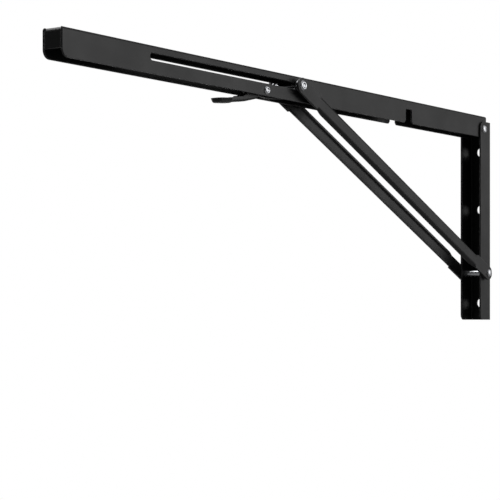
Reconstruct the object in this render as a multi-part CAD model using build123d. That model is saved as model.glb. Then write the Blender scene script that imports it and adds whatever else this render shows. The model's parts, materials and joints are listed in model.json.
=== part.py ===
"""Folding shelf bracket, one of a pair, standing open with its arm level.

Frame: millimetres, +Z up. The wall is the plane Y = 0 and the arm reaches out
along -Y. X runs across the bracket, +X to the right of someone who faces the
wall. The origin lies on the wall plate's back face, level with the hinge pin.
"""

import math
import os

from build123d import *

# ---------------------------------------------------------------- wall plate
plate_sheet = 1.5          # steel of the wall plate
plate_depth = 20.4         # reach of its flanges from the wall
plate_above_hinge = 7.0    # top edge over the hinge pin's centre
plate_below_hinge = 180.4  # bottom edge under the hinge pin's centre
plate_bend = 2.2           # outer radius of its two long bends
plate_top_corner = 6.5     # front top corner of a flange
plate_foot_corner = 5.0    # front bottom corner of a flange
wall_screw_drops = (20.4, 75.3, 164.4)  # wall screw slots, down from the hinge pin
wall_slot_width = 6.8
wall_slot_length = 8.0

# ----------------------------------------------------------------------- arm
arm_reach = 600.0          # nose from the wall
arm_width = 17.8
arm_height = 20.1
arm_above_hinge = 12.5     # top face over the hinge pin's centre
arm_sheet = 1.5
arm_bend = 2.0             # outer radius of its two long bends
arm_side_play = 0.35       # arm to plate flange, each side
nose_corner = 6.0          # rounded lower corner of each wall at the nose
nose_flap_gap = 0.3        # relief beside the folded nose flap
nose_flap_root = 7.0       # length of that relief
nose_flap_bend = 2.2       # centre-line radius of the flap's bend
shelf_hole = 5.2           # holes for the screws that go up into the shelf
shelf_hole_count = 4
shelf_hole_first = 140.0   # first of them from the wall
shelf_hole_last = 16.0     # last of them from the nose
notch_width = 10.8         # opening in the walls that clears the lower sleeve
notch_top = 4.6            # its top over the hinge pin's centre
notch_clearance = 0.6      # its rear edge to the folded arm's lower sleeve
notch_corner = 1.5
notch_mouth = 2.0          # bevel at each side of its mouth

# ------------------------------------------------------------------- linkage
hinge_setback = 13.8       # hinge pin from the wall
lower_setback = 11.8       # lower pin from the wall
pivot_drop = 136.2         # lower pin under the hinge pin
strut_reach = 326.9        # slide pin from the wall with the arm locked level
slide_pin_rise = 4.5       # slide pin over the hinge pin's level
slot_spare = 12.0          # slot left in front of the folded slide pin
running = 0.05             # radial clearance of a pin that turns or slides
snug = 0.02                # radial clearance of a pin held fast

# ---------------------------------------------------------------------- pins
hinge_pin_d = 6.0
lower_pin_d = 5.0
slide_pin_d = 5.4
lever_pin_d = 4.5
hinge_head_d = 7.4
lower_head_d = 7.2
slide_head_d = 8.3
lever_head_d = 6.6
head_height = 1.7
head_rim = 0.5             # straight edge under a rivet head's bevel
head_crown = 0.6           # flat crown of a rivet head, as a share of its diameter
head_dimple = 0.5          # depth of the pressed dimple in some of the crowns
hinge_sleeve_d = 8.6
lower_sleeve_d = 6.5
sleeve_end_gap = 0.05      # sleeve to the wall it stands against
lower_spacer_d = 10.0
slide_collar_d = 6.4       # low enough to pass over the lever pin's heads
leg_collar_d = 9.5
face_gap = 0.1             # between flat faces that turn past each other
link_gap = 0.3             # open joint between the slide pin and a leg's rivet

# --------------------------------------------------------------------- strut
leg_width = 12.5
leg_sheet = 1.8
leg_depth = 3.6            # depth of the leg's gutter section
leg_bend = 3.0             # outer radius of the gutter's long edges
leg_flat_end = 26.0        # flat length at each end, from the pin's centre
leg_ramp = 9.0             # run-out of the gutter's hollow into each flat end
leg_play = 0.4             # gutter edge to the wall plate's flange

# ----------------------------------------------------------------- lock lever
lever_ahead = 41.4         # lever pin forward of the slide pin in the locked arm
lever_pin_drop = 3.4       # lever pin under the hinge pin's level
lever_width = 8.6          # across its two cheeks
lever_sheet = 1.5
lever_fold = 1.8           # outer radius of the folds along its web
lever_lip = 3.8            # height of the lips beside the web
lever_path_gap = 0.4       # cheek tops to the slide pin's underside
lever_catch_gap = 0.35     # catch face to the slide pin
lever_web_steps = ((5.0, 5.9), (21.0, 9.6), (31.0, 10.9))  # web: ahead of and under the pin
lever_web_overlap = 0.45   # how far the web runs into the pad, as a share of half its length
cheek_nose = 4.0           # level top edge of a cheek, forward of the lever pin
cheek_heel = 1.7           # lower edge of a cheek at its catch, under the lever pin
cheek_underside = (        # a cheek's lower edge: behind (+) and over (+) the lever pin
    (-15.0, -3.2), (-23.0, -6.4), (-23.0, -8.2), (-5.0, -4.2), (0.0, -5.2), (9.0, -5.0),
)
pad_length = 20.0          # pressed finger pad at the tip
pad_width = 11.5
pad_depth = 3.6
pad_ahead = 46.0           # pad centre, forward of the lever pin
pad_drop = 10.4            # pad rim, under the lever pin
pad_tilt = 5.0
pad_flare = 18.0           # slope of the pad's side, in degrees
pad_edge = 0.9             # bevel round the pad's underside

# --------------------------------------------------------------------- spring
spring_wire = 0.8
spring_turns = 2
spring_pitch = 1.0
spring_bore = 4.9
spring_bend = 0.9          # centre-line radius where a leg turns inward or outward
spring_hook_reach = 7.0    # rear hook, behind the lever pin
spring_rear_rise = 12.0    # slope of the rear leg, in degrees
spring_front_fall = 8.5    # slope of the front leg, in degrees
spring_front_reach = 25.0  # front leg's tip, forward of the lever pin
spring_hook_play = 1.1     # radial room of the rear hook in its hole

# ------------------------------------------------------------ derived places
arm_half = arm_width / 2
arm_inner_half = arm_half - arm_sheet
arm_under_hinge = arm_height - arm_above_hinge
web_underside = arm_above_hinge - arm_sheet
shelf_hole_span = arm_reach - shelf_hole_first - shelf_hole_last
shelf_hole_pitch = shelf_hole_span / (shelf_hole_count - 1)
plate_inner_half = arm_half + arm_side_play
plate_half = plate_inner_half + plate_sheet
plate_height = plate_above_hinge + plate_below_hinge
leg_inner = plate_half + leg_play
leg_outer = leg_inner + leg_depth
leg_web_inner = leg_outer - leg_sheet

hinge_y = -hinge_setback
lower_pin_y = -lower_setback
lower_pin_z = -pivot_drop
slide_pin_y = -strut_reach
slide_pin_z = slide_pin_rise
lever_pin_y = slide_pin_y - lever_ahead
lever_pin_z = -lever_pin_drop

strut_run = strut_reach - lower_setback
strut_rise = pivot_drop + slide_pin_rise
strut_length = math.hypot(strut_run, strut_rise)
folded_run = slide_pin_rise + hinge_setback - lower_setback
folded_drop = pivot_drop + math.sqrt(strut_length**2 - folded_run**2)
slide_travel = folded_drop - (strut_reach - hinge_setback)

slot_height = slide_pin_d + 2 * running
slot_rear_y = slide_pin_y + slot_height / 2
slot_front_y = slide_pin_y - slide_travel - slot_height / 2 - slot_spare

lever_top_z = slide_pin_z - slide_pin_d / 2 - lever_path_gap
catch_radius = math.hypot(lever_ahead, slide_pin_z - lever_pin_z)
catch_radius = catch_radius - slide_pin_d / 2 - lever_catch_gap


# ----------------------------------------------------------------- small help
def spread(outline, width, centre_x=0.0):
    """Solid of a side outline, drawn as (y, z), spread evenly about centre_x."""
    face = Plane.YZ.offset(centre_x) * outline
    return extrude(face, amount=width / 2, both=True)


def cross_rod(diameter, length, y, z, centre_x=0.0):
    """Round bar across the bracket."""
    return Pos(centre_x, y, z) * Rot(0, 90, 0) * Cylinder(diameter / 2, length)


def tube(outer_d, bore, x_from, x_to, y, z):
    """Sleeve, spacer or washer across the bracket."""
    length = x_to - x_from
    ring = Cylinder(outer_d / 2, length) - Cylinder(bore / 2, length)
    return Pos((x_from + x_to) / 2, y, z) * Rot(0, 90, 0) * ring


def side_rivet(shank_d, x_from, x_to, head_d, y, z, dimple=0.0):
    """Right-hand end of a rivet: shank from x_from to x_to and a bevelled head,
    with a shallow conical dimple of the given depth in its crown."""
    head_r = head_d / 2
    top_x = x_to + head_height
    outline = Polyline(
        (x_from, 0),
        (x_from, shank_d / 2),
        (x_to, shank_d / 2),
        (x_to, head_r),
        (x_to + head_rim, head_r),
        (top_x, head_r * head_crown),
        (top_x - dimple, 0),
        close=True,
    )
    return Pos(0, y, z) * revolve(make_face(outline), axis=Axis.X)


def both_sides(shape):
    """A shape and its mirror image across the bracket, fused."""
    return shape + mirror(shape, about=Plane.YZ)


def bent_strip(points, bend, width, sheet):
    """Sheet strip that follows a side path, drawn as (y, z), with round bends."""
    path = FilletPolyline(*[(0, y, z) for y, z in points], radius=bend)
    start = Plane(origin=path @ 0, x_dir=(1, 0, 0), z_dir=path % 0)
    return sweep(start * Rectangle(width, sheet), path=path)


# ----------------------------------------------------------------- wall plate
def make_wall_plate():
    """Folded channel, open to the front, that is screwed to the wall."""
    outline = Pos(-plate_depth / 2, (plate_above_hinge - plate_below_hinge) / 2)
    outline = outline * Rectangle(plate_depth, plate_height)
    front = outline.vertices().group_by(Axis.X)[0].sort_by(Axis.Y)
    outline = fillet(front[0], plate_foot_corner)
    front = outline.vertices().group_by(Axis.Y)[-1].sort_by(Axis.X)
    outline = fillet(front[0], plate_top_corner)
    shell = spread(outline, 2 * plate_half)
    back = shell.edges().filter_by(Axis.Z).group_by(Axis.Y)[-1]
    shell = fillet(back, plate_bend)

    hollow = Box(2 * plate_inner_half, 2 * plate_depth, 2 * plate_height)
    hollow = fillet(hollow.edges().filter_by(Axis.Z), plate_bend - plate_sheet)
    shell = shell - Pos(0, -plate_sheet - plate_depth, -plate_height / 2) * hollow

    slot = Plane.XZ * Rot(0, 0, 90) * SlotOverall(wall_slot_length, wall_slot_width)
    slot = extrude(slot, amount=2 * plate_sheet, both=True)
    for drop in wall_screw_drops:
        shell = shell - Pos(0, 0, -drop) * slot
    shell = shell - cross_rod(hinge_pin_d + 2 * snug, 3 * plate_half, hinge_y, 0)
    return shell - cross_rod(lower_pin_d + 2 * snug, 3 * plate_half, lower_pin_y, lower_pin_z)


def make_hinge_pin():
    """Rivet through both flanges on which the arm turns."""
    return both_sides(side_rivet(hinge_pin_d, 0, plate_half, hinge_head_d, hinge_y, 0))


def make_lower_pin():
    """Rivet through both flanges on which the two legs turn."""
    reach = leg_outer + face_gap
    return both_sides(side_rivet(lower_pin_d, 0, reach, lower_head_d, lower_pin_y, lower_pin_z))


def make_lower_sleeve():
    """Bright sleeve on the lower pin between the flanges."""
    end = plate_inner_half - sleeve_end_gap
    return tube(lower_sleeve_d, lower_pin_d + 2 * snug, -end, end, lower_pin_y, lower_pin_z)


def make_lower_spacer():
    """Spacer between the right flange and the right leg."""
    return tube(lower_spacer_d, lower_pin_d + 2 * snug, plate_half,
                leg_web_inner - face_gap, lower_pin_y, lower_pin_z)


# ----------------------------------------------------------------------- arm
def arm_outline():
    """Side outline of the arm: square on top, round heel, rounded nose."""
    bottom = -arm_under_hinge
    run = arm_reach - hinge_setback
    beam = Pos(-(arm_reach + hinge_setback) / 2, (arm_above_hinge + bottom) / 2)
    beam = beam * Rectangle(run, arm_height)
    nose = beam.vertices().group_by(Axis.X)[0].sort_by(Axis.Y)[0]
    beam = fillet(nose, nose_corner)
    heel_top = Pos(hinge_y + arm_under_hinge / 2, arm_above_hinge / 2)
    heel_top = heel_top * Rectangle(arm_under_hinge, arm_above_hinge)
    heel = Pos(hinge_y, 0) * Circle(arm_under_hinge)
    return beam + heel_top + heel


def sleeve_notch():
    """Outline of the notch that the lower sleeve enters when the arm is folded."""
    half = notch_width / 2
    rear_y = hinge_y - pivot_drop + lower_sleeve_d / 2 + notch_clearance
    lip = -arm_under_hinge
    mouth = Polyline(
        (-half - notch_mouth, lip),
        (-half, lip + notch_mouth),
        (half, lip + notch_mouth),
        (half + notch_mouth, lip),
        close=True,
    )
    body = RectangleRounded(notch_width, 2 * (notch_top - lip), notch_corner)
    return Pos(rear_y - half, 0) * (Pos(0, lip) * body + make_face(mouth))


def make_shelf_arm():
    """Folded channel, open below, with slotted walls and a folded nose flap."""
    shell = spread(arm_outline(), arm_width)
    long_top = shell.edges().filter_by(Axis.Y).group_by(Axis.Z)[-1]
    shell = fillet(long_top, arm_bend)
    hollow = Box(2 * arm_inner_half, 2 * arm_reach, 2 * arm_height)
    hollow = fillet(hollow.edges().filter_by(Axis.Y), arm_bend - arm_sheet)
    shell = shell - Pos(0, 0, web_underside - arm_height) * hollow

    nose_y = -arm_reach
    relief = Box(2 * arm_inner_half, 2 * nose_flap_root, 3 * arm_sheet)
    shell = shell - Pos(0, nose_y, arm_above_hinge) * relief
    mid_web = arm_above_hinge - arm_sheet / 2
    flap_foot = nose_corner - arm_under_hinge
    flap_path = (
        (nose_y + 2 * nose_flap_root, mid_web),
        (nose_y + arm_sheet / 2, mid_web),
        (nose_y + arm_sheet / 2, flap_foot),
    )
    flap_width = 2 * (arm_inner_half - nose_flap_gap)
    shell = shell + bent_strip(flap_path, nose_flap_bend, flap_width, arm_sheet)

    slot_length = slot_rear_y - slot_front_y
    slot = Pos((slot_rear_y + slot_front_y) / 2, slide_pin_z)
    slot = slot * SlotOverall(slot_length, slot_height)
    shell = shell - spread(slot, 2 * arm_width)

    shell = shell - spread(sleeve_notch(), 2 * arm_width)

    shell = shell - cross_rod(hinge_pin_d + 2 * running, 2 * arm_width, hinge_y, 0)
    shell = shell - cross_rod(lever_pin_d + 2 * snug, 2 * arm_width, lever_pin_y, lever_pin_z)
    hook_hole = spring_wire + 2 * spring_hook_play
    hook_y, hook_z = spring_hook_place()
    shell = shell - cross_rod(hook_hole, arm_width, hook_y, hook_z, -arm_half)
    for number in range(shelf_hole_count):
        y = -shelf_hole_first - number * shelf_hole_pitch
        shell = shell - Pos(0, y, arm_above_hinge) * Cylinder(shelf_hole / 2, 4 * arm_sheet)
    return shell


def make_hinge_sleeve():
    """Sleeve on the hinge pin that keeps the arm's walls apart."""
    end = arm_inner_half - sleeve_end_gap
    return tube(hinge_sleeve_d, hinge_pin_d + 2 * running, -end, end, hinge_y, 0)


def make_lever_pin():
    """Rivet through the arm's walls that carries the lock lever."""
    half = side_rivet(lever_pin_d, 0, arm_half, lever_head_d, lever_pin_y, lever_pin_z,
                      head_dimple)
    return both_sides(half)


def make_lever_spacer():
    """Sleeve on the lever pin between the lever and the right wall."""
    return tube(spring_bore + 2 * spring_wire, lever_pin_d + 2 * snug,
                lever_width / 2 + face_gap, arm_inner_half - sleeve_end_gap,
                lever_pin_y, lever_pin_z)


def spring_tangent(slope):
    """Point, as (y, z), where a leg of this slope leaves the coil's underside."""
    mean_r = (spring_bore + spring_wire) / 2
    angle = math.radians(slope)
    return lever_pin_y + mean_r * math.sin(angle), lever_pin_z - mean_r * math.cos(angle)


def spring_hook_place():
    """Centre, as (y, z), of the spring's rear hook in the left wall."""
    y, z = spring_tangent(spring_rear_rise)
    hook_y = lever_pin_y + spring_hook_reach
    return hook_y, z + (hook_y - y) * math.tan(math.radians(spring_rear_rise))


def make_lever_spring():
    """Torsion spring: a short coil, a rear leg hooked in the wall, a front leg
    that lies across the lever's left lip."""
    mean_r = (spring_bore + spring_wire) / 2
    turn = spring_turns + (spring_rear_rise - spring_front_fall) / 360
    coil_length = turn * spring_pitch
    gap_middle = -(lever_width / 2 + arm_inner_half) / 2
    left_x = gap_middle - coil_length / 2
    right_x = gap_middle + coil_length / 2
    hook_y, hook_z = spring_hook_place()
    rear_y, rear_z = spring_tangent(spring_rear_rise)
    front_y, front_z = spring_tangent(spring_front_fall)
    tip_y = lever_pin_y - spring_front_reach
    tip_z = front_z + (tip_y - front_y) * math.tan(math.radians(spring_front_fall))

    # The helix starts on local +X and rises along local +Z. Mirrored, it is
    # left-handed; turned, it starts under the pin and steps to the right.
    coil = mirror(Helix(spring_pitch, coil_length, mean_r), about=Plane.XZ)
    turned = Rot(spring_rear_rise, 0, 0) * Rot(0, 90, 0)
    coil = Pos(left_x, lever_pin_y, lever_pin_z) * turned * coil
    hook_end = -arm_half - spring_wire
    tip_end = lever_sheet - lever_width / 2
    rear_leg = FilletPolyline((hook_end, hook_y, hook_z), (left_x, hook_y, hook_z),
                              (left_x, rear_y, rear_z), radius=spring_bend)
    front_leg = FilletPolyline((right_x, front_y, front_z), (right_x, tip_y, tip_z),
                               (tip_end, tip_y, tip_z), radius=spring_bend)
    path = Wire(rear_leg.edges() + coil.edges() + front_leg.edges())
    start = Plane(origin=path @ 0, z_dir=path % 0)
    return sweep(start * RegularPolygon(spring_wire / 2, 6), path=path)


# --------------------------------------------------------- slide pin and strut
def make_slide_pin():
    """Bright pin that runs in the long slot, up to the gap beside each leg."""
    return cross_rod(slide_pin_d, 2 * (leg_inner - link_gap), slide_pin_y, slide_pin_z)


def make_slide_collar():
    """Collar on the right end of the slide pin, between the arm and the leg."""
    return tube(slide_collar_d, slide_pin_d + 2 * snug, arm_half + link_gap,
                leg_inner - link_gap, slide_pin_y, slide_pin_z)


def make_leg_rivet():
    """Riveted end of the slide link in the right leg: shank and head."""
    return side_rivet(slide_pin_d, leg_inner, leg_outer, slide_head_d,
                      slide_pin_y, slide_pin_z, head_dimple)


def make_leg_collar():
    """Collar on the right leg rivet that fills the gutter up to the leg's flat end."""
    return tube(leg_collar_d, slide_pin_d + 2 * snug, leg_inner, leg_web_inner,
                slide_pin_y, slide_pin_z)


def make_strut_leg():
    """Right leg: flat rounded ends and, between them, an inward-facing gutter."""
    core_width = leg_width - 2 * leg_sheet
    outer = RectangleRounded(leg_width, 2 * leg_depth, leg_bend)
    inner = RectangleRounded(core_width, 2 * (leg_depth - leg_sheet), leg_bend - leg_sheet)
    keep = Pos(0, leg_depth / 2) * Rectangle(2 * leg_width, leg_depth)
    section = (outer - inner) & keep

    # Leg frame: local X across the leg, local Y outward, local Z up the leg.
    middle = extrude(section, amount=strut_length - 2 * leg_flat_end)
    middle = Pos(0, 0, leg_flat_end) * middle
    flat_depth = leg_depth - leg_sheet
    ramp = (
        (flat_depth, leg_flat_end),
        (0, leg_flat_end + leg_ramp),
        (0, strut_length - leg_flat_end - leg_ramp),
        (flat_depth, strut_length - leg_flat_end),
        (leg_depth, strut_length - leg_flat_end),
        (leg_depth, leg_flat_end),
    )
    window = extrude(Plane.YZ * make_face(Polyline(*ramp, close=True)), leg_width, both=True)
    middle = middle & window

    end = SlotOverall(strut_length + leg_width, leg_width)
    end = end - Rectangle(strut_length - 2 * leg_flat_end, 2 * leg_width)
    flat = extrude(Plane.XZ.offset(-leg_depth) * Rot(0, 0, 90) * end, amount=leg_sheet)
    leg = middle + Pos(0, 0, strut_length / 2) * flat

    for height in (0, strut_length):
        d = lower_pin_d + 2 * running if height == 0 else slide_pin_d + 2 * snug
        bore = Pos(0, leg_depth, height) * Rot(90, 0, 0) * Cylinder(d / 2, 4 * leg_sheet)
        leg = leg - bore

    up = Vector(0, slide_pin_y - lower_pin_y, slide_pin_z - lower_pin_z)
    across = Vector(1, 0, 0).cross(up)
    frame = Plane(origin=(leg_inner, lower_pin_y, lower_pin_z), x_dir=across, z_dir=up)
    return frame * leg


# ----------------------------------------------------------------- lock lever
def lever_web_path():
    """Middle of the lever's web, as (y, z): from behind its bridge to the pad."""
    floor = pad_drop + pad_depth - lever_sheet / 2
    rear = lever_web_overlap * pad_length / 2
    drop = floor - rear * math.tan(math.radians(pad_tilt))
    steps = (*lever_web_steps, (pad_ahead - rear, drop))
    return [(lever_pin_y - ahead, lever_pin_z - down) for ahead, down in steps]


def lever_cheek():
    """Side outline of a cheek, its catch face swinging clear of the slide pin."""
    top = lever_top_z - lever_pin_z
    corners = (
        (catch_radius + cheek_nose, top),
        (-cheek_nose, top),
        *cheek_underside,
        (catch_radius + cheek_nose, -cheek_heel),
    )
    cheek = make_face(Polyline(*corners, close=True)) & Circle(catch_radius)
    return Pos(lever_pin_y, lever_pin_z) * cheek


def make_lock_lever():
    """Folded lever: two cheeks with catches, a gutter-shaped stem, a finger pad."""
    height = 2 * lever_lip
    core = lever_width - 2 * lever_sheet
    gutter = RectangleRounded(lever_width, height, lever_fold)
    gutter = gutter - RectangleRounded(core, height - 2 * lever_sheet, lever_fold - lever_sheet)
    gutter = gutter & Pos(0, -lever_lip / 2) * Rectangle(lever_width, lever_lip)
    gutter = Pos(0, lever_lip - lever_sheet / 2) * gutter
    path = FilletPolyline(*[(0, y, z) for y, z in lever_web_path()], radius=9)
    start = Plane(origin=path @ 0, x_dir=(1, 0, 0), z_dir=path % 0)
    stem = sweep(start * gutter, path=path)

    rim = Pos(0, lever_pin_y - pad_ahead, lever_pin_z - pad_drop) * Rot(pad_tilt, 0, 0)
    oval = Rot(0, 0, 90) * SlotOverall(pad_length, pad_width)
    cup = extrude(oval, amount=-pad_depth, taper=pad_flare)
    cup = chamfer(cup.faces().sort_by(Axis.Z)[0].edges(), pad_edge)
    well = Rot(0, 0, 90) * SlotOverall(pad_length - 2 * lever_sheet, pad_width - 2 * lever_sheet)
    well = extrude(well, amount=-(pad_depth - lever_sheet), taper=pad_flare)
    lever = (stem - rim * cup) + rim * (cup - well)

    for side in (-1, 1):
        centre_x = side * (lever_width - lever_sheet) / 2
        lever = lever + spread(lever_cheek(), lever_sheet, centre_x)
    bore = lever_pin_d + 2 * running
    return lever - cross_rod(bore, 2 * lever_width, lever_pin_y, lever_pin_z)


def write_parts():
    parts = {
        "wall_plate": make_wall_plate(),
        "hinge_pin": make_hinge_pin(),
        "lower_pin": make_lower_pin(),
        "lower_sleeve": make_lower_sleeve(),
        "shelf_arm": make_shelf_arm(),
        "hinge_sleeve": make_hinge_sleeve(),
        "lever_pin": make_lever_pin(),
        "lever_spacer": make_lever_spacer(),
        "lever_spring": make_lever_spring(),
        "slide_pin": make_slide_pin(),
        "lock_lever": make_lock_lever(),
    }
    paired = {
        "lower_spacer": make_lower_spacer(),
        "slide_collar": make_slide_collar(),
        "leg_rivet": make_leg_rivet(),
        "leg_collar": make_leg_collar(),
        "strut_leg": make_strut_leg(),
    }
    for name, shape in paired.items():
        parts[name + "_right"] = shape
        parts[name + "_left"] = mirror(shape, about=Plane.YZ)

    os.makedirs("parts", exist_ok=True)
    for name, shape in parts.items():
        export_step(shape, "parts/" + name + ".step")


write_parts()
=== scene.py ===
"""Folding shelf bracket: powder coat, riveted ends, lever spring, lights, camera."""

import json
import math

import bpy
import numpy as np
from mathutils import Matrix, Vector


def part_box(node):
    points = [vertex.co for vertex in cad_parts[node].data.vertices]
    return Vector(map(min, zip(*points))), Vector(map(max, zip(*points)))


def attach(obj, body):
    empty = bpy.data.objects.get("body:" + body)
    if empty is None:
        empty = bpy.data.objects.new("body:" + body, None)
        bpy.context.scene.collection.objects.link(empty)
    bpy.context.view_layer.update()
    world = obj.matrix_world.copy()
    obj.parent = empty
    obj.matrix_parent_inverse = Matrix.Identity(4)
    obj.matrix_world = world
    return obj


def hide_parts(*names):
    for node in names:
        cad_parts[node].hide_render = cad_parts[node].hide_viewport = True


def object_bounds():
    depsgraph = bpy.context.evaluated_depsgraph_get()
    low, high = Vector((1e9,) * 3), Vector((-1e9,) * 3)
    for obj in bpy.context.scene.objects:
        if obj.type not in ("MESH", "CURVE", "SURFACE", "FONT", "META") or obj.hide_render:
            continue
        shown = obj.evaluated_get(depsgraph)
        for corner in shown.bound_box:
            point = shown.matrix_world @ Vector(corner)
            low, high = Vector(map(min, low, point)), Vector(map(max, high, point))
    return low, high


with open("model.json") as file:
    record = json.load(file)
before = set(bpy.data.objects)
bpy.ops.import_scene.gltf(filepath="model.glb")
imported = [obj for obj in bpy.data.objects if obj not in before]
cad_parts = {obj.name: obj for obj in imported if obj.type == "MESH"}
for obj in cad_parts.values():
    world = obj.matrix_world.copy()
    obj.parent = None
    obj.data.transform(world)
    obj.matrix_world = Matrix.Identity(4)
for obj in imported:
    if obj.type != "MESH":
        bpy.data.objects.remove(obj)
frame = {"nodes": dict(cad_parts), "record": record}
nodes = frame["nodes"]
cad_low, cad_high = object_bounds()
mm = 0.001


# ------------------------------------------------------------------ surfaces
def surface(name, grid, close_v=False, caps=False):
    """Mesh of a grid of points, shape (rows, columns, 3), with a quad between
    each four neighbours. close_v joins the last column to the first, and caps
    puts one face over the first row and one over the last."""
    rows, columns, _ = grid.shape
    index = np.arange(rows * columns).reshape(rows, columns)
    ends = [index[0, ::-1].tolist(), index[-1].tolist()]
    if close_v:
        index = np.hstack([index, index[:, :1]])
    quads = np.stack([index[:-1, :-1], index[:-1, 1:], index[1:, 1:], index[1:, :-1]], axis=-1)
    faces = quads.reshape(-1, 4).tolist()
    if caps:
        faces += ends
    mesh = bpy.data.meshes.new(name)
    mesh.from_pydata(grid.reshape(-1, 3).tolist(), [], faces)
    mesh.validate()
    mesh.update()
    piece = bpy.data.objects.new(name, mesh)
    bpy.context.scene.collection.objects.link(piece)
    return piece


def smooth(piece, angle=35):
    """Smooth shading, with creases sharper than the angle in degrees kept."""
    mesh = piece.data
    mesh.polygons.foreach_set("use_smooth", np.ones(len(mesh.polygons), bool))
    mesh.set_sharp_from_angle(angle=math.radians(angle))
    return piece


def rounded(corners, radii, steps=6):
    """Line through corners, each inner one cut back by its radius and replaced
    by a quadratic curve: (1-t)^2 a + 2t(1-t) c + t^2 b."""
    corners = np.array(corners, float)
    t = np.linspace(0, 1, steps)[:, None]
    runs = [corners[:1]]
    for before, corner, after, radius in zip(corners, corners[1:], corners[2:], radii):
        a = corner + (before - corner) * radius / np.linalg.norm(before - corner)
        b = corner + (after - corner) * radius / np.linalg.norm(after - corner)
        runs.append((1 - t) ** 2 * a + 2 * t * (1 - t) * corner + t**2 * b)
    runs.append(corners[-1:])
    return np.vstack(runs)


def turned(name, profile, centre, side=1, around=64):
    """Piece turned about an axis along X: each profile point (x, r) goes round
    to (side x, y + r cos a, z + r sin a). Profile in metres, from axis to axis."""
    angle = np.linspace(0, 2 * math.pi, around, endpoint=False)
    x = np.repeat(side * profile[:, :1], around, axis=1)
    y = centre[1] + profile[:, 1:] * np.cos(angle)
    z = centre[2] + profile[:, 1:] * np.sin(angle)
    grid = np.stack([x, y, z], axis=-1)
    if side > 0:
        grid = grid[:, ::-1]
    return surface(name, grid, close_v=True, caps=True)


def tube_along(name, points, radius, around=14):
    """Round wire: at each point p of the path a circle p + r (s cos a + u sin a).
    s is square to the path and to one slanting direction that the path never
    takes, and u is square to the path and to s."""
    slanting = [1.0, 0.13, 0.29]
    ahead = np.gradient(points, axis=0)
    ahead /= np.linalg.norm(ahead, axis=1, keepdims=True)
    side = np.cross(ahead, slanting)
    side /= np.linalg.norm(side, axis=1, keepdims=True)
    up = np.cross(ahead, side)
    angle = np.linspace(0, 2 * math.pi, around, endpoint=False)
    ring = side[:, None] * np.cos(angle)[:, None] + up[:, None] * np.sin(angle)[:, None]
    grid = points[:, None] + radius * ring
    return surface(name, grid, close_v=True, caps=True)


# ------------------------------------------------------------- node helpers
def node_group(name, inputs, outputs):
    """Empty shader group with named sockets: (name, type, default)."""
    group = bpy.data.node_groups.new(name, "ShaderNodeTree")
    for label, kind, default in inputs:
        socket = group.interface.new_socket(label, in_out="INPUT", socket_type=kind)
        if default is not None:
            socket.default_value = default
    for label, kind in outputs:
        group.interface.new_socket(label, in_out="OUTPUT", socket_type=kind)
    source = group.nodes.new("NodeGroupInput")
    sink = group.nodes.new("NodeGroupOutput")
    return group, source, sink


def put(tree, kind, links=(), **settings):
    """Adds a node, sets its properties, and links or sets its (input, value) pairs."""
    node = tree.nodes.new(kind)
    for key, value in settings.items():
        setattr(node, key, value)
    for label, value in links:
        socket = node.inputs[label]
        if isinstance(value, bpy.types.NodeSocket):
            tree.links.new(value, socket)
        else:
            socket.default_value = value
    return node


def stretched(tree, value, source, target, kind="LINEAR"):
    """The value with the range source mapped to the range target."""
    node = put(tree, "ShaderNodeMapRange",
               [("Value", value), ("From Min", source[0]), ("From Max", source[1]),
                ("To Min", target[0]), ("To Max", target[1])], interpolation_type=kind)
    return node.outputs[0]


def new_material(name):
    """Material with nodes, and its tree."""
    material = bpy.data.materials.new(name)
    material.use_nodes = True
    return material, material.node_tree


def fit_shader(tree, colour, rough, height, normal, bump_strength, bump_depth):
    """Links the colour, roughness and bumped normal of a finish to its shader."""
    shader = tree.nodes["Principled BSDF"]
    bump = put(tree, "ShaderNodeBump",
               [("Height", height), ("Normal", normal),
                ("Strength", bump_strength), ("Distance", bump_depth)])
    tree.links.new(colour, shader.inputs["Base Color"])
    tree.links.new(rough, shader.inputs["Roughness"])
    tree.links.new(bump.outputs[0], shader.inputs["Normal"])
    return shader


# ----------------------------------------------------------------- finishes
noise_middle = (0.3, 0.7)              # the range that a noise mostly fills

peel_size = 0.35                       # scale of the peel against the grain's
peel_share = 0.6                       # height of the peel against the grain's
coat_black = (0.0022, 0.0022, 0.0024, 1)
# painted highlight: lighter grey mixed into the black along rounded edges, standing in for light
# caught there
painted_edge_highlight_grey = (0.10, 0.10, 0.104, 1)
coat_specular = 0.38
coat_rough = (0.40, 0.48)
coat_edge_radius = 0.6 * mm
painted_highlight_reach = 14.0                 # how strongly a rounded edge shows the painted highlight
coat_bump = (0.12, 0.1 * mm)           # strength and depth

metal_tone = (0.9, 1.0)                # darkest and lightest streak
metal_edge_radius = 0.2 * mm
metal_bump = (0.15, 0.05 * mm)
zinc_colour = (0.58, 0.59, 0.61)
zinc_rough = (0.20, 0.32)
zinc_streaks = (300, 2500, 2500)       # streaks per metre, drawn out along X
spring_colour = (0.42, 0.42, 0.44)
spring_rough = (0.25, 0.4)
spring_streaks = (1500, 1500, 1500)


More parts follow.
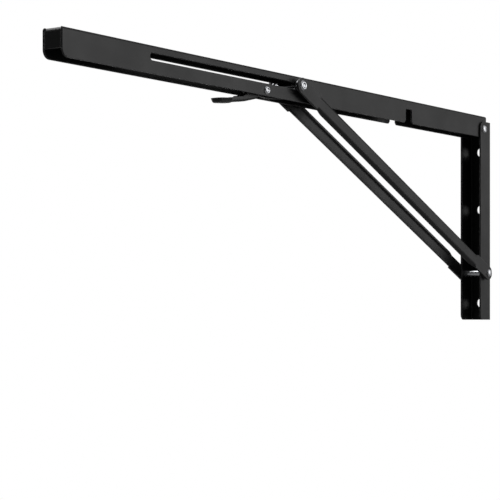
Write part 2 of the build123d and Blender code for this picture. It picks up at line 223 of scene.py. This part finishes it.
def make_speckle_group():
    """Fine cured-powder texture: two sizes of noise added for height, and a
    broad noise for patches that are slightly duller."""
    group, source, sink = node_group(
        "powder_texture",
        [("Place", "NodeSocketVector", None), ("Grain", "NodeSocketFloat", 900.0),
         ("Patch", "NodeSocketFloat", 40.0)],
        [("Height", "NodeSocketFloat"), ("Patches", "NodeSocketFloat")],
    )
    place, grain, patch = source.outputs[:3]
    fine = put(group, "ShaderNodeTexNoise", [("Vector", place), ("Scale", grain), ("Detail", 2.0)])
    peel_scale = put(group, "ShaderNodeMath", [(0, grain), (1, peel_size)], operation="MULTIPLY")
    peel = put(group, "ShaderNodeTexNoise",
               [("Vector", place), ("Scale", peel_scale.outputs[0]), ("Detail", 1.0)])
    height = put(group, "ShaderNodeMath",
                 [(0, peel.outputs["Fac"]), (1, peel_share), (2, fine.outputs["Fac"])],
                 operation="MULTIPLY_ADD")
    broad = put(group, "ShaderNodeTexNoise", [("Vector", place), ("Scale", patch), ("Detail", 3.0)])
    group.links.new(height.outputs[0], sink.inputs["Height"])
    group.links.new(broad.outputs["Fac"], sink.inputs["Patches"])
    return group


def make_edge_group():
    """Edge mask, where the black coat paints its edge highlight, and softened
    normal: one minus the cosine between the true normal and that of an edge
    rounded by Radius, times Reach, up to 1."""
    group, source, sink = node_group(
        "sheet_edge",
        [("Radius", "NodeSocketFloat", 0.4 * mm), ("Reach", "NodeSocketFloat", 6.0)],
        [("Edge", "NodeSocketFloat"), ("Normal", "NodeSocketVector")],
    )
    radius, reach = source.outputs[:2]
    bevel = put(group, "ShaderNodeBevel", [("Radius", radius)], samples=4)
    geometry = put(group, "ShaderNodeNewGeometry")
    same = put(group, "ShaderNodeVectorMath",
               [(0, bevel.outputs["Normal"]), (1, geometry.outputs["Normal"])],
               operation="DOT_PRODUCT")
    apart = put(group, "ShaderNodeMath", [(0, 1.0), (1, same.outputs["Value"])], operation="SUBTRACT")
    edge = put(group, "ShaderNodeMath", [(0, apart.outputs[0]), (1, reach)],
               operation="MULTIPLY", use_clamp=True)
    group.links.new(edge.outputs[0], sink.inputs["Edge"])
    group.links.new(bevel.outputs["Normal"], sink.inputs["Normal"])
    return group


speckle_group = make_speckle_group()
edge_group = make_edge_group()


def make_black_coat():
    """Satin black powder coat: fine peel, duller patches, and a painted highlight of lighter grey
    along rounded edges.
    """
    material, tree = new_material("black_coat")
    place = put(tree, "ShaderNodeTexCoord").outputs["Object"]
    speckle = put(tree, "ShaderNodeGroup", [("Place", place)], node_tree=speckle_group)
    edge = put(tree, "ShaderNodeGroup",
               [("Radius", coat_edge_radius), ("Reach", painted_highlight_reach)], node_tree=edge_group)
    # painted highlight: the edge mask mixes the lighter grey into the black
    colour = put(tree, "ShaderNodeMixRGB",
                 [("Fac", edge.outputs["Edge"]), ("Color1", coat_black), ("Color2", painted_edge_highlight_grey)])
    rough = stretched(tree, speckle.outputs["Patches"], noise_middle, coat_rough)
    shader = fit_shader(tree, colour.outputs[0], rough, speckle.outputs["Height"],
                        edge.outputs["Normal"], *coat_bump)
    shader.inputs["Specular IOR Level"].default_value = coat_specular
    return material


def make_metal(name, colour, rough_range, streaks):
    """Bright plated or bare steel: tone and roughness follow a streaky noise,
    with its streaks per metre given along X, Y and Z."""
    material, tree = new_material(name)
    place = put(tree, "ShaderNodeTexCoord").outputs["Object"]
    drawn = put(tree, "ShaderNodeMapping", [("Vector", place), ("Scale", streaks)])
    streak = put(tree, "ShaderNodeTexNoise",
                 [("Vector", drawn.outputs[0]), ("Scale", 1.0), ("Detail", 4.0)]).outputs["Fac"]
    edge = put(tree, "ShaderNodeGroup", [("Radius", metal_edge_radius)], node_tree=edge_group)
    tone = stretched(tree, streak, noise_middle, metal_tone)
    shade = put(tree, "ShaderNodeVectorMath", [(0, colour), ("Scale", tone)], operation="SCALE")
    rough = stretched(tree, streak, noise_middle, rough_range)
    shader = fit_shader(tree, shade.outputs[0], rough, streak, edge.outputs["Normal"], *metal_bump)
    shader.inputs["Metallic"].default_value = 1.0
    return material


finishes = {
    "black_coat": make_black_coat(),
    "zinc_steel": make_metal("zinc_steel", zinc_colour, zinc_rough, zinc_streaks),
    "spring_steel": make_metal("spring_steel", spring_colour, spring_rough, spring_streaks),
}
for part in frame["record"]["subparts"]:
    mesh = nodes[part["node"]].data
    mesh.materials.clear()
    mesh.materials.append(finishes[part["material_slot"]])


def finish_piece(piece, body, slot, replaced):
    """Gives a new piece its finish and body, and hides the node it stands for."""
    piece.data.materials.append(finishes[slot])
    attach(piece, body)
    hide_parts(replaced)


# ------------------------------------------------------------- riveted ends
hinge_shank_r = 3.0 * mm
lower_shank_r = 2.5 * mm
lever_shank_r = 2.25 * mm
slide_shank_r = 2.7 * mm
hinge_head_r = 3.7 * mm
lower_head_r = 3.6 * mm
lever_head_r = 3.3 * mm
slide_head_r = 4.15 * mm
head_dimple = 0.8 * mm         # depth of the dimple in the lever's and legs' rivets
leg_play = 0.1 * mm            # between the right leg and the lower rivet's head

shank_round = 0.05 * mm        # rounding of the corners of a rivet's outline
seat_round = 0.1 * mm
edge_round = 0.2 * mm
edge_height = 0.45 * mm        # straight edge of a head, above its seat
shoulder_r = 0.82              # domed crown's shoulder: share of the head's radius,
shoulder_fall = 0.12 * mm      # depth under the top, and rounding
shoulder_round = 0.5 * mm
ring_r = 0.72                  # dimpled crown's top ring: share of the head's radius
ring_round = 0.55 * mm
lip_r = 0.46                   # where the dimple steepens, at this share of its depth
lip_depth = 0.15
lip_round = 0.35 * mm
floor_r = 0.30                 # the dimple's flat middle
floor_round = 0.3 * mm


def rivet_profile(shank_r, start, seat, top, head_r, dimple=0.0):
    """Half profile (x, r) of a rivet end: shank, seat, straight edge, and a
    domed or dimpled crown. A step is x, r and the rounding of that corner."""
    steps = [(start, shank_r, shank_round), (seat, shank_r, shank_round),
             (seat, head_r, seat_round), (seat + edge_height, head_r, edge_round)]
    if dimple:
        steps += [(top, head_r * ring_r, ring_round),
                  (top - lip_depth * dimple, head_r * lip_r, lip_round),
                  (top - dimple, head_r * floor_r, floor_round)]
    else:
        steps += [(top - shoulder_fall, head_r * shoulder_r, shoulder_round)]
    corners = [(start, 0)] + [step[:2] for step in steps] + [(top - dimple, 0)]
    return rounded(corners, [step[2] for step in steps])


def rivet_pair(name, node, body, shank_r, seat, head_r, dimple=0.0):
    """A rivet through the bracket: two turned ends joined at the middle."""
    low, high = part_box(node)
    half = rivet_profile(shank_r, 0, seat, high[0], head_r, dimple)[1:]
    whole = np.vstack([(half * [-1, 1])[::-1], half[1:]])
    piece = turned(name, whole, (low + high) / 2)
    finish_piece(smooth(piece), body, "zinc_steel", node)


def slide_rivet(label, side):
    """The rivet of one leg's upper end, with one head, on the leg's outside."""
    low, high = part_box("leg_rivet_" + label)
    inner, top = sorted((abs(low[0]), abs(high[0])))
    profile = rivet_profile(slide_shank_r, inner, leg_face, top, slide_head_r, head_dimple)
    piece = turned("slide_rivet_" + label, profile, (low + high) / 2, side)
    finish_piece(smooth(piece), "strut", "zinc_steel", "leg_rivet_" + label)


plate_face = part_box("wall_plate")[1][0]
arm_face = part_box("shelf_arm")[1][0]
leg_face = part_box("strut_leg_right")[1][0]
rivet_pair("hinge_rivet", "hinge_pin", "wall_plate", hinge_shank_r, plate_face, hinge_head_r)
rivet_pair("lower_rivet", "lower_pin", "wall_plate", lower_shank_r, leg_face + leg_play, lower_head_r)
rivet_pair("lever_rivet", "lever_pin", "shelf_arm", lever_shank_r, arm_face, lever_head_r, head_dimple)
slide_rivet("right", 1)
slide_rivet("left", -1)


# ------------------------------------------------------------- lever spring
wire_r = 0.4 * mm
coil_r = 2.85 * mm             # middle of the wire, about the lever pin
coil_half = 1.0 * mm           # half the coil's length along X
coil_turns = 2
coil_points = 74
leg_bend = 0.9 * mm            # where a leg turns to run along X
leg_bend_points = 10
hook_behind = 7.0 * mm         # rear leg's hook, behind the lever pin
hook_slope = math.radians(12.0)
tip_ahead = 25.0 * mm          # front leg's tip, ahead of the lever pin
tip_slope = math.radians(8.5)
end_shift = 0.1 * mm           # both ends, to the left of the plain spring's
spacer_play = 0.1 * mm         # between the lever and its spacer


def spring_path(centre, left_x, right_x, hook, tip):
    """Middle of the wire: a leg that hooks into the left wall, two and a bit
    turns about the lever pin, and a leg whose tip lies across the lever's lip.
    hook and tip are (end x, place y, slope s). A leg leaves the coil's underside
    along its tangent, from (y + r sin s, z - r cos s), and climbs tan s per unit
    of y; its last stretch runs straight across, along x."""
    def leg(x, end_x, end_y, slope):
        foot_y = centre[1] + coil_r * math.sin(slope)
        foot_z = centre[2] - coil_r * math.cos(slope)
        end_z = foot_z + (end_y - foot_y) * math.tan(slope)
        corners = [(end_x, end_y, end_z), (x, end_y, end_z), (x, foot_y, foot_z)]
        return rounded(corners, [leg_bend], leg_bend_points)

    t = np.linspace(0, 1, coil_points)[1:-1]
    hook_angle = hook[2]
    tip_angle = tip[2]
    angle = hook_angle - (2 * math.pi * coil_turns + hook_angle - tip_angle) * t
    coil = np.stack([left_x + (right_x - left_x) * t,
                     centre[1] + coil_r * np.sin(angle),
                     centre[2] - coil_r * np.cos(angle)], axis=-1)
    return np.vstack([leg(left_x, *hook), coil, leg(right_x, *tip)[::-1]])


def make_lever_spring():
    """Round-wire spring in the place of the plain one. Its coil lies midway
    between the arm's left wall and the lever, and the plain one gives its ends."""
    low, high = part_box("lever_spring")
    lever_joint = next(joint for joint in frame["record"]["behaviour"]["joints"]
                       if joint["child"] == "lock_lever")
    pin = lever_joint["pos_m"]
    wall_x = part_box("hinge_sleeve")[0][0]
    lever_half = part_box("lever_spacer")[0][0] - spacer_play
    middle = (wall_x - lever_half) / 2
    hook = (low[0] - end_shift, pin[1] + hook_behind, hook_slope)
    tip = (high[0] - end_shift, pin[1] - tip_ahead, tip_slope)
    path = spring_path(pin, middle - coil_half, middle + coil_half, hook, tip)
    piece = tube_along("lever_spring_wire", path, wire_r)
    finish_piece(smooth(piece, angle=50), "lock_lever", "spring_steel", "lever_spring")


make_lever_spring()


# ------------------------------------------------------------------- setting
floor_drop = 0.24                      # floor under the bracket's lowest point
floor_half = 6                         # half its width
floor_grey = (0.3, 0.3, 0.3, 1)
plain_white = (1, 1, 1, 1)

wall_turn = math.radians(65)           # middle of a bright wall, from +Y towards X
wall_fall = -0.05                      # its middle lies a little below level
wall_edge = (0.68, 0.96)               # cosines where a wall's glow starts and is full
wall_glow = (0.06, 2.3)
ceiling_edge = (0.4, 0.9)              # heights where its glow starts and is full
ceiling_glow = (0.0, 0.5)

camera_place = (0.7325, -1.3959, -0.1783)
camera_turn = math.radians(35.11)
camera_lens = 117.6
camera_shift = (-0.036, 0.135)


def white_where_seen(tree, shader, white):
    """The shader for all light, and the white one where it is seen itself."""
    seen = put(tree, "ShaderNodeLightPath").outputs["Is Camera Ray"]
    mixed = put(tree, "ShaderNodeMixShader",
                [(0, seen), (1, shader.outputs[0]), (2, white.outputs[0])])
    return mixed.outputs[0]


def make_pale_floor():
    """Wide pale floor: plain white as it is seen, softly grey to all else."""
    material, tree = new_material("floor")
    tree.nodes.clear()
    matt = put(tree, "ShaderNodeBsdfDiffuse", [("Color", floor_grey)])
    white = put(tree, "ShaderNodeEmission", [("Color", plain_white), ("Strength", 1.0)])
    put(tree, "ShaderNodeOutputMaterial", [("Surface", white_where_seen(tree, matt, white))])
    level = cad_low[2] - floor_drop
    across = (-floor_half, floor_half)
    grid = np.array([[(x, y, level) for y in across] for x in across[::-1]], float)
    floor = surface("floor", grid)
    floor.data.materials.append(material)


def soft_light(name, place, aim, size, power):
    """Rectangular soft light at a place, turned so that it faces the aim."""
    data = bpy.data.lights.new(name, "AREA")
    data.shape = "RECTANGLE"
    data.size, data.size_y = size
    data.energy = power
    light = bpy.data.objects.new(name, data)
    bpy.context.scene.collection.objects.link(light)
    light.location = place
    direction = np.array(aim, float) - np.array(place, float)
    flat = math.hypot(direction[0], direction[1])
    light.rotation_euler = (math.atan2(flat, -direction[2]), 0,
                            math.atan2(direction[1], direction[0]) - math.pi / 2)


def make_studio():
    """Soft world: two broad bright walls behind the bracket, one to each side,
    a dimmer ceiling, and dark elsewhere; white where it is seen itself. A wall's
    glow follows the cosine between a direction, with its x taken as positive,
    and the middle of the wall."""
    world = bpy.data.worlds.new("studio")
    bpy.context.scene.world = world
    world.use_nodes = True
    tree = world.node_tree
    tree.nodes.clear()
    direction = put(tree, "ShaderNodeTexCoord").outputs["Generated"]
    split = put(tree, "ShaderNodeSeparateXYZ", [(0, direction)])
    sideways = put(tree, "ShaderNodeMath", [(0, split.outputs["X"])], operation="ABSOLUTE")
    folded = put(tree, "ShaderNodeCombineXYZ",
                 [("X", sideways.outputs[0]), ("Y", split.outputs["Y"]), ("Z", split.outputs["Z"])])
    wall_middle = Vector((math.sin(wall_turn), math.cos(wall_turn), wall_fall))
    toward = put(tree, "ShaderNodeVectorMath", [(0, folded.outputs[0]), (1, wall_middle)],
                 operation="DOT_PRODUCT")
    wall = stretched(tree, toward.outputs["Value"], wall_edge, wall_glow, "SMOOTHSTEP")
    ceiling = stretched(tree, split.outputs["Z"], ceiling_edge, ceiling_glow, "SMOOTHSTEP")
    both = put(tree, "ShaderNodeMath", [(0, wall), (1, ceiling)], operation="MAXIMUM")
    glow = put(tree, "ShaderNodeBackground", [("Color", both.outputs[0]), ("Strength", 1.0)])
    plain = put(tree, "ShaderNodeBackground", [("Color", plain_white), ("Strength", 1.0)])
    put(tree, "ShaderNodeOutputWorld", [("Surface", white_where_seen(tree, glow, plain))])


def place_camera():
    """Level camera in front of the bracket, to its right and below its arm."""
    data = bpy.data.cameras.new("camera")
    camera = bpy.data.objects.new("camera", data)
    bpy.context.scene.collection.objects.link(camera)
    camera.location = camera_place
    camera.rotation_euler = (math.radians(90), 0, camera_turn)
    data.lens = camera_lens
    data.shift_x, data.shift_y = camera_shift
    bpy.context.scene.camera = camera


make_pale_floor()
soft_light("overhead", place=(-0.95, -0.5, 1.45), aim=(0, -0.1, -0.1), size=(1.1, 1.1), power=15)
soft_light("key", place=(1.9, -0.7, 0.7), aim=(0, -0.25, -0.05), size=(1.0, 1.4), power=7)
make_studio()
place_camera()
bpy.context.scene.view_settings.view_transform = "Standard"

bpy.context.view_layer.update()
